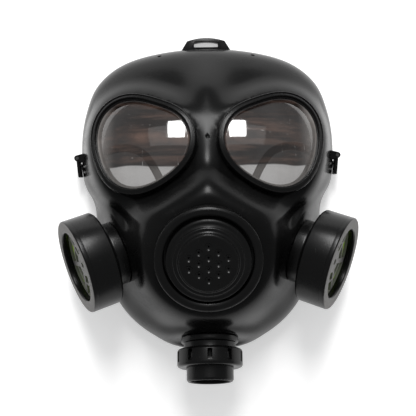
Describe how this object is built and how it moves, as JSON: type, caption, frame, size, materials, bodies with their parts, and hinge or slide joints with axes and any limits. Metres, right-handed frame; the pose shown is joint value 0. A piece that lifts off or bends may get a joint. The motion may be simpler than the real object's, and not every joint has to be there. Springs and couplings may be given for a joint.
{
  "type": "full face respirator",
  "caption": "Full face respirator: moulded rubber face piece with domed eyepieces, stepped speech cover, cheek filter canisters that twist off, and a chin outlet with a slotted collar.",
  "frame": {"origin": "centre of the part's box on the surface that the sealing rim rests on", "axes": "+Z out of the face, +Y towards the forehead, +X to the viewer's right as the mask lies face up; left is -X"},
  "size_m": [0.2154, 0.2552, 0.106],
  "materials": {
    "rubber_black": "moulded, satin, with soft creases",
    "gasket_black": "plain",
    "plastic_black": "fine moulded grain, rubbed edges",
    "plastic_dark": "plain moulded",
    "lens_clear": "clear, lightly scratched",
    "grille_grey": "moulded",
    "filter_green": "bright felt disc",
    "filter_charcoal": "packed granules",
    "valve_rubber": "soft, thin",
    "diaphragm_film": "thin taut film",
    "pin_steel": "drawn wire",
    "strap_elastic": "woven elastic"
  },
  "bodies": {
    "mask": {"face_piece": "rubber_black", "face_seal": "rubber_black", "lens_left": "lens_clear", "lens_right": "lens_clear", "lens_gasket_left": "gasket_black", "lens_gasket_right": "gasket_black", "lens_rim_left": "plastic_black", "lens_rim_right": "plastic_black", "mouth_gasket": "gasket_black", "voice_housing": "plastic_black", "mouth_nut": "plastic_dark", "speech_diaphragm": "diaphragm_film", "diaphragm_gasket": "gasket_black", "speech_cover": "plastic_black", "cheek_port_left": "plastic_black", "cheek_port_right": "plastic_black", "cheek_nut_left": "plastic_dark", "cheek_nut_right": "plastic_dark", "canister_gasket_left": "gasket_black", "canister_gasket_right": "gasket_black", "chin_port": "plastic_black", "chin_nut": "plastic_dark", "outlet_gasket": "gasket_black", "outlet_tube": "plastic_black", "buckle_pin_left": "pin_steel", "buckle_pin_right": "pin_steel", "head_strap": "strap_elastic"},
    "canister_left": {"canister_body_left": "plastic_black", "canister_front_left": "plastic_black", "canister_grille_left": "grille_grey", "filter_disc_left": "filter_green", "filter_media_left": "filter_charcoal"},
    "inhale_flap_left": {"inhale_valve_left": "valve_rubber"},
    "buckle_left_swing": {"buckle_left": "plastic_black"},
    "canister_right": {"canister_body_right": "plastic_black", "canister_front_right": "plastic_black", "canister_grille_right": "grille_grey", "filter_disc_right": "filter_green", "filter_media_right": "filter_charcoal"},
    "inhale_flap_right": {"inhale_valve_right": "valve_rubber"},
    "buckle_right_swing": {"buckle_right": "plastic_black"},
    "exhale_flap": {"exhale_valve": "valve_rubber"},
    "collar": {"outlet_collar": "plastic_black"}
  },
  "joints": [
    {"name": "canister_left_twist", "type": "hinge", "parent": "mask", "child": "canister_left", "pos_m": [-0.07309, -0.03443, 0.04573], "axis": [0.8789, 0.2974, -0.3731], "range_deg": [0, 60]},
    {"name": "inhale_left_lift", "type": "slide", "parent": "mask", "child": "inhale_flap_left", "axis": [0.8789, 0.2974, -0.3731], "range_m": [0, 0.002], "stiffness_N_per_m": 20, "springref_m": -0.001},
    {"name": "buckle_left_hinge", "type": "hinge", "parent": "mask", "child": "buckle_left_swing", "pos_m": [-0.0958, 0.03704, 0.013], "axis": [0, 0, -1], "range_deg": [0, 60]},
    {"name": "canister_right_twist", "type": "hinge", "parent": "mask", "child": "canister_right", "pos_m": [0.07309, -0.03443, 0.04573], "axis": [0.8789, -0.2974, 0.3731], "range_deg": [0, 60]},
    {"name": "inhale_right_lift", "type": "slide", "parent": "mask", "child": "inhale_flap_right", "axis": [-0.8789, 0.2974, -0.3731], "range_m": [0, 0.002], "stiffness_N_per_m": 20, "springref_m": -0.001},
    {"name": "buckle_right_hinge", "type": "hinge", "parent": "mask", "child": "buckle_right_swing", "pos_m": [0.0958, 0.03704, 0.013], "axis": [0, 0, 1], "range_deg": [0, 60]},
    {"name": "exhale_lift", "type": "slide", "parent": "mask", "child": "exhale_flap", "axis": [0, -0.9511, 0.309], "range_m": [0, 0.002], "stiffness_N_per_m": 20, "springref_m": -0.001},
    {"name": "collar_turn", "type": "hinge", "parent": "mask", "child": "collar", "pos_m": [0, -0.10732, 0.04313], "axis": [0, -0.9511, 0.309], "continuous": true}
  ]
}
